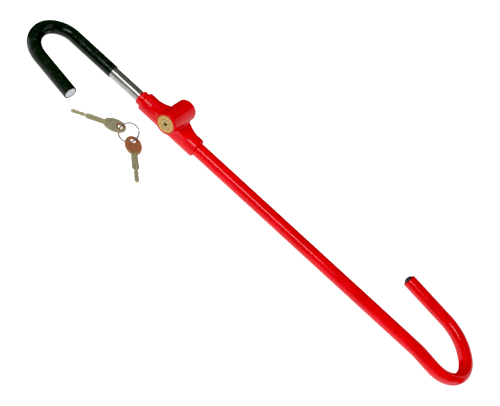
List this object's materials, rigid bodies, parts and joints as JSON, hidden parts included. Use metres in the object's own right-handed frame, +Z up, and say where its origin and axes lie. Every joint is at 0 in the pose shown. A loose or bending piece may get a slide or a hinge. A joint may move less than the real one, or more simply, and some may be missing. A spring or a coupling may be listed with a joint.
{
  "type": "wheel-to-pedal bar lock",
  "caption": "Sliding hook bar in a red tube with a pedal hook, held by a cross-key lock head; a pair of cross keys lies beside it on a split ring.",
  "frame": {"origin": "on the flat under the lock head, straight below the crossing of the bar's axis and the cross barrel's axis", "axes": "+X along the bar from the wheel hook to the pedal hook, +Z up, away from the surface it lies on; the key face looks along -Y"},
  "size_m": [0.6177, 0.1792, 0.0387],
  "materials": {
    "red_coating": "gloss coating on steel and cast metal",
    "black_vinyl": "glossy dipped vinyl",
    "black_plug": "satin moulded",
    "chrome": "polished plating",
    "brass": "turned",
    "steel": "zinc plated",
    "spring_steel": "drawn wire",
    "key_nickel": "nickel plated"
  },
  "bodies": {
    "frame": {"lock_housing": "red_coating", "guide_sleeve": "red_coating", "pedal_tube": "red_coating", "tube_end_plug": "black_plug", "guide_set_screw": "steel", "tube_set_screw": "steel", "cylinder_body": "brass", "cylinder_shell": "brass", "cylinder_pin": "spring_steel", "driver_pins": "steel", "pin_springs": "spring_steel", "detent_ball": "steel", "detent_spring": "spring_steel", "detent_screw": "steel"},
    "lock_core": {"cylinder_plug": "brass", "key_pins": "brass", "plug_clip": "spring_steel", "locking_bar": "steel"},
    "slider": {"stop_bush": "steel"},
    "hook": {"hook_rod": "chrome", "hook_sleeve": "black_vinyl", "bush_clip": "spring_steel"},
    "ring": {"split_ring": "spring_steel"},
    "first_key": {"key_a": "key_nickel"},
    "second_key": {"key_b": "key_nickel"}
  },
  "joints": [
    {"name": "lock_turn", "type": "hinge", "parent": "frame", "child": "lock_core", "pos_m": [0, 0, 0.0262], "axis": [0, 1, 0], "range_deg": [0, 90]},
    {"name": "rod_slide", "type": "slide", "parent": "frame", "child": "slider", "axis": [-1, 0, 0], "range_m": [-0.015, 0.21]},
    {"name": "hook_turn", "type": "hinge", "parent": "slider", "child": "hook", "pos_m": [0, 0, 0.011], "axis": [-1, 0, 0], "continuous": true},
    {"name": "ring_lift", "type": "slide", "parent": "frame", "child": "ring", "axis": [0, 0, 1], "range_m": [0, 0.08]},
    {"name": "first_key_swing", "type": "hinge", "parent": "ring", "child": "first_key", "pos_m": [-0.03234, -0.04948, 0.0049], "axis": [0, 0, 1], "range_deg": [0, 8]},
    {"name": "second_key_swing", "type": "hinge", "parent": "ring", "child": "second_key", "pos_m": [-0.01186, -0.05198, 0.0049], "axis": [0, 0, 1], "range_deg": [-8, 8]}
  ]
}
